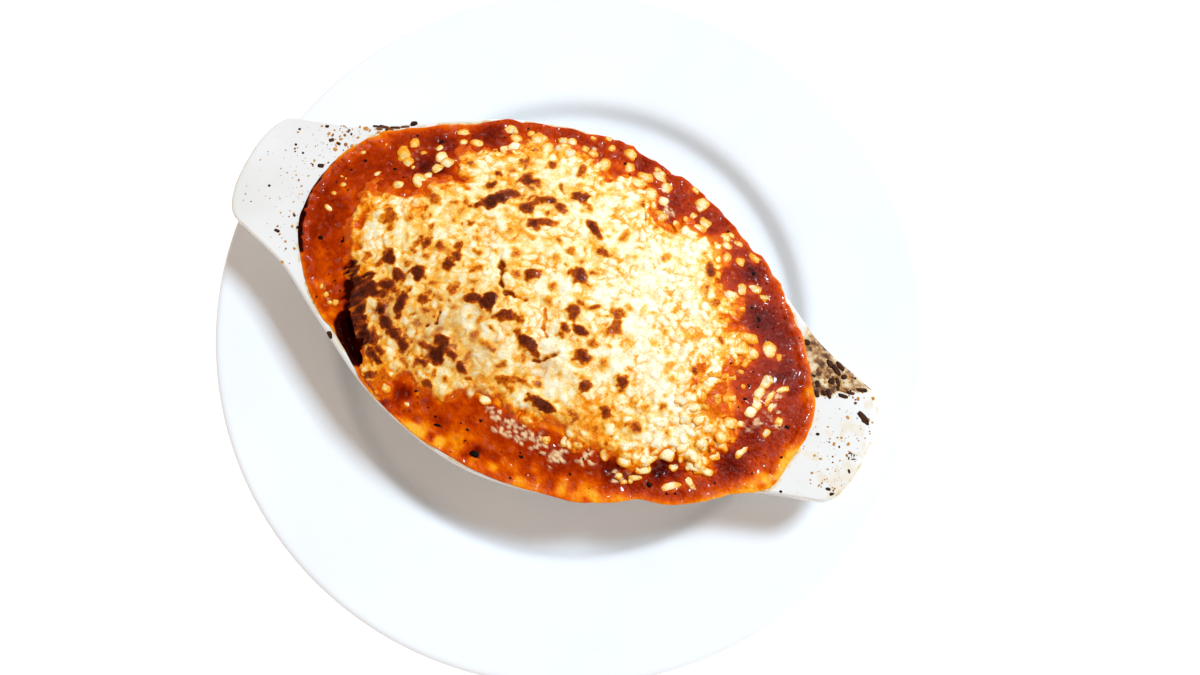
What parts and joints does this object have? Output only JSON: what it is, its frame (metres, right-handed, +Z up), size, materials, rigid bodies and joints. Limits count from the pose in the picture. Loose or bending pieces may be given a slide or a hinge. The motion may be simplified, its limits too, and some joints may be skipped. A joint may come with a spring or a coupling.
{
  "type": "plate of lasagna",
  "caption": "Baked lasagna with tomato sauce and browned melted cheese in an eared oval gratin dish, standing on a round dinner plate.",
  "frame": {"origin": "on the plate's axis at the table, under the centre of its foot ring", "axes": "+Z up; +X along the gratin dish's long axis, towards the ear at the picture's lower right"},
  "size_m": [0.27, 0.27, 0.0635],
  "materials": {
    "plate_porcelain": "clear glossy glaze over cool white porcelain",
    "dish_porcelain": "clear glossy glaze over warm white porcelain, with baked-on spots",
    "tomato_sauce": "wet, oily baked tomato sauce",
    "melted_cheese": "melted cheese with browned blisters, soft gloss"
  },
  "bodies": {
    "root": {"plate": "plate_porcelain", "gratin_dish": "dish_porcelain", "lasagna_and_sauce": "tomato_sauce", "melted_cheese": "melted_cheese"}
  },
  "joints": []
}
